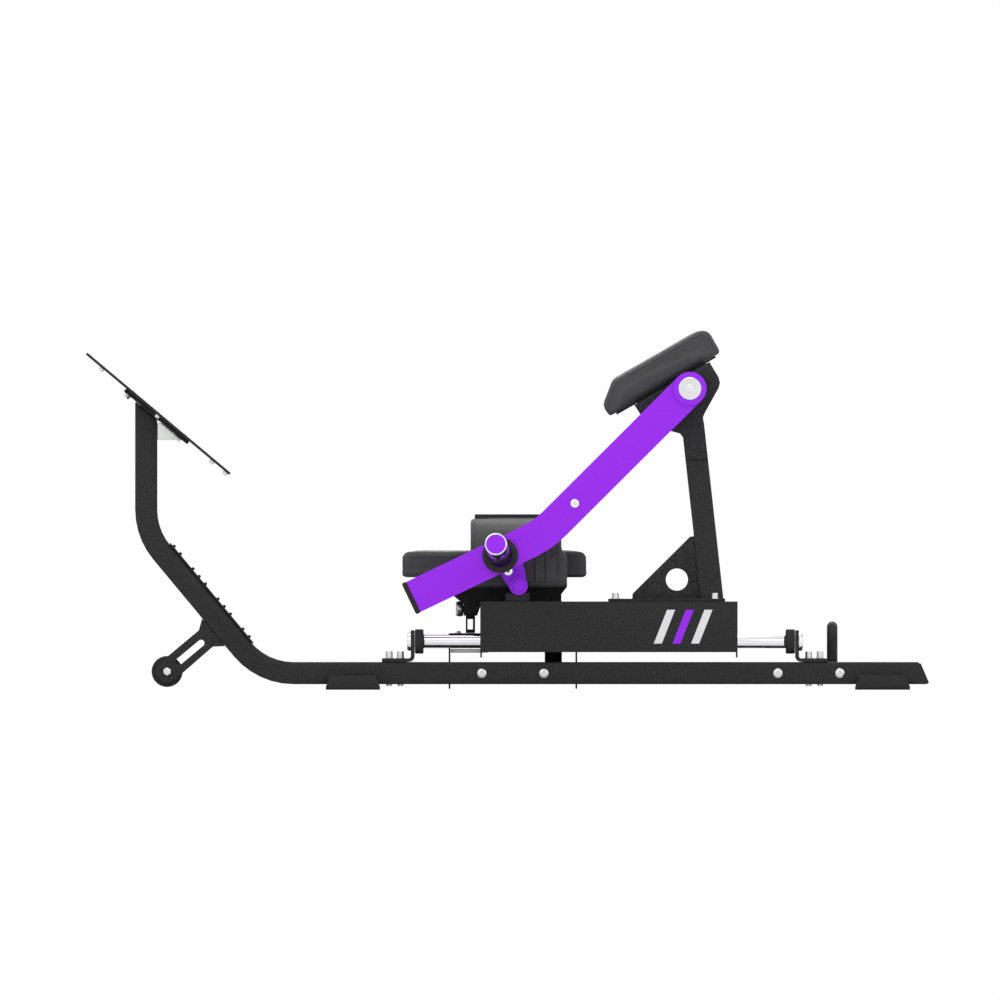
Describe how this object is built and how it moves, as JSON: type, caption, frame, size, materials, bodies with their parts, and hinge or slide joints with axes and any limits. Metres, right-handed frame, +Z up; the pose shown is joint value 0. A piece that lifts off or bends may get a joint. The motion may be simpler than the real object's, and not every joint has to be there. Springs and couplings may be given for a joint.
{
  "type": "hip thrust machine",
  "caption": "Plate loaded hip thrust machine with a sliding back pad carriage, lever arms with a hip belt, a tilted foot plate and transport wheels.",
  "frame": {"origin": "centre of the footprint box on the floor", "axes": "+X towards the back pad end, +Y across to the user's side, +Z up"},
  "size_m": [1.897, 1.1152, 0.8082],
  "materials": {
    "powder_coat": "fine speckled matt powder coat",
    "purple_coat": "smooth satin powder coat",
    "chrome": "polished hard chrome",
    "zinc": "zinc plated",
    "pad_vinyl": "grained upholstery vinyl",
    "seat_vinyl": "textured upholstery vinyl",
    "rubber": "moulded black rubber"
  },
  "bodies": {
    "base": {"foot_plate": "powder_coat", "foot_plate_backing": "powder_coat", "tread_plate": "powder_coat", "seat_base": "powder_coat", "seat_mast": "powder_coat", "seat_guide_tube": "powder_coat", "rear_cross_member": "powder_coat", "lift_handle": "powder_coat", "side_rail_left": "powder_coat", "side_rail_right": "powder_coat", "foot_front_left": "rubber", "foot_front_right": "rubber", "foot_rear_left": "rubber", "foot_rear_right": "rubber", "foot_plate_strut_left": "zinc", "foot_plate_strut_right": "zinc", "wheel_bracket_left": "powder_coat", "wheel_bracket_right": "powder_coat", "wheel_axle_left": "zinc", "wheel_axle_right": "zinc", "guide_rod_left": "chrome", "guide_rod_right": "chrome", "rod_bracket_front_left": "powder_coat", "rod_bracket_front_right": "powder_coat", "rod_bracket_rear_left": "powder_coat", "rod_bracket_rear_right": "powder_coat", "rod_bumper_front_left": "rubber", "rod_bumper_front_right": "rubber", "rod_bumper_rear_left": "rubber", "rod_bumper_rear_right": "rubber"},
    "wheel_left": {"transport_wheel_left": "rubber"},
    "wheel_right": {"transport_wheel_right": "rubber"},
    "seat": {"seat_frame": "powder_coat", "seat_cushion": "seat_vinyl"},
    "pull_pin": {"seat_pin": "zinc"},
    "carriage": {"carriage_tray": "powder_coat", "post_cross_tube": "powder_coat", "back_pad_board": "powder_coat", "back_pad": "pad_vinyl", "carriage_side_left": "powder_coat", "carriage_side_right": "powder_coat", "linear_bearing_front_left": "zinc", "linear_bearing_front_right": "zinc", "linear_bearing_rear_left": "zinc", "linear_bearing_rear_right": "zinc", "upright_left": "powder_coat", "upright_right": "powder_coat", "head_plate_left": "powder_coat", "head_plate_right": "powder_coat", "arm_rest_left": "rubber", "arm_rest_right": "rubber"},
    "lever": {"pivot_shaft": "chrome", "hip_belt": "seat_vinyl", "lever_arm_left": "purple_coat", "lever_arm_right": "purple_coat", "weight_sleeve_left": "chrome", "weight_sleeve_right": "chrome", "plate_collar_left": "rubber", "plate_collar_right": "rubber"}
  },
  "joints": [
    {"name": "carriage_slide", "type": "slide", "parent": "base", "child": "carriage", "axis": [1, 0, 0], "range_m": [-0.125, 0.105]},
    {"name": "arm_lift", "type": "hinge", "parent": "carriage", "child": "lever", "pos_m": [0.4113, 0, 0.6779], "axis": [0, 1, 0], "range_deg": [0, 45]},
    {"name": "seat_height", "type": "slide", "parent": "base", "child": "seat", "axis": [0, 0, 1], "range_m": [0, 0.025]},
    {"name": "seat_pin_pull", "type": "slide", "parent": "seat", "child": "pull_pin", "axis": [-1, 0, 0], "range_m": [0, 0.012], "stiffness_N_per_m": 500, "springref_m": -0.004},
    {"name": "wheel_left_spin", "type": "hinge", "parent": "base", "child": "wheel_left", "pos_m": [-0.765, 0.21, 0.0412], "axis": [0, 1, 0], "continuous": true},
    {"name": "wheel_right_spin", "type": "hinge", "parent": "base", "child": "wheel_right", "pos_m": [-0.765, -0.21, 0.0412], "axis": [0, 1, 0], "continuous": true}
  ]
}
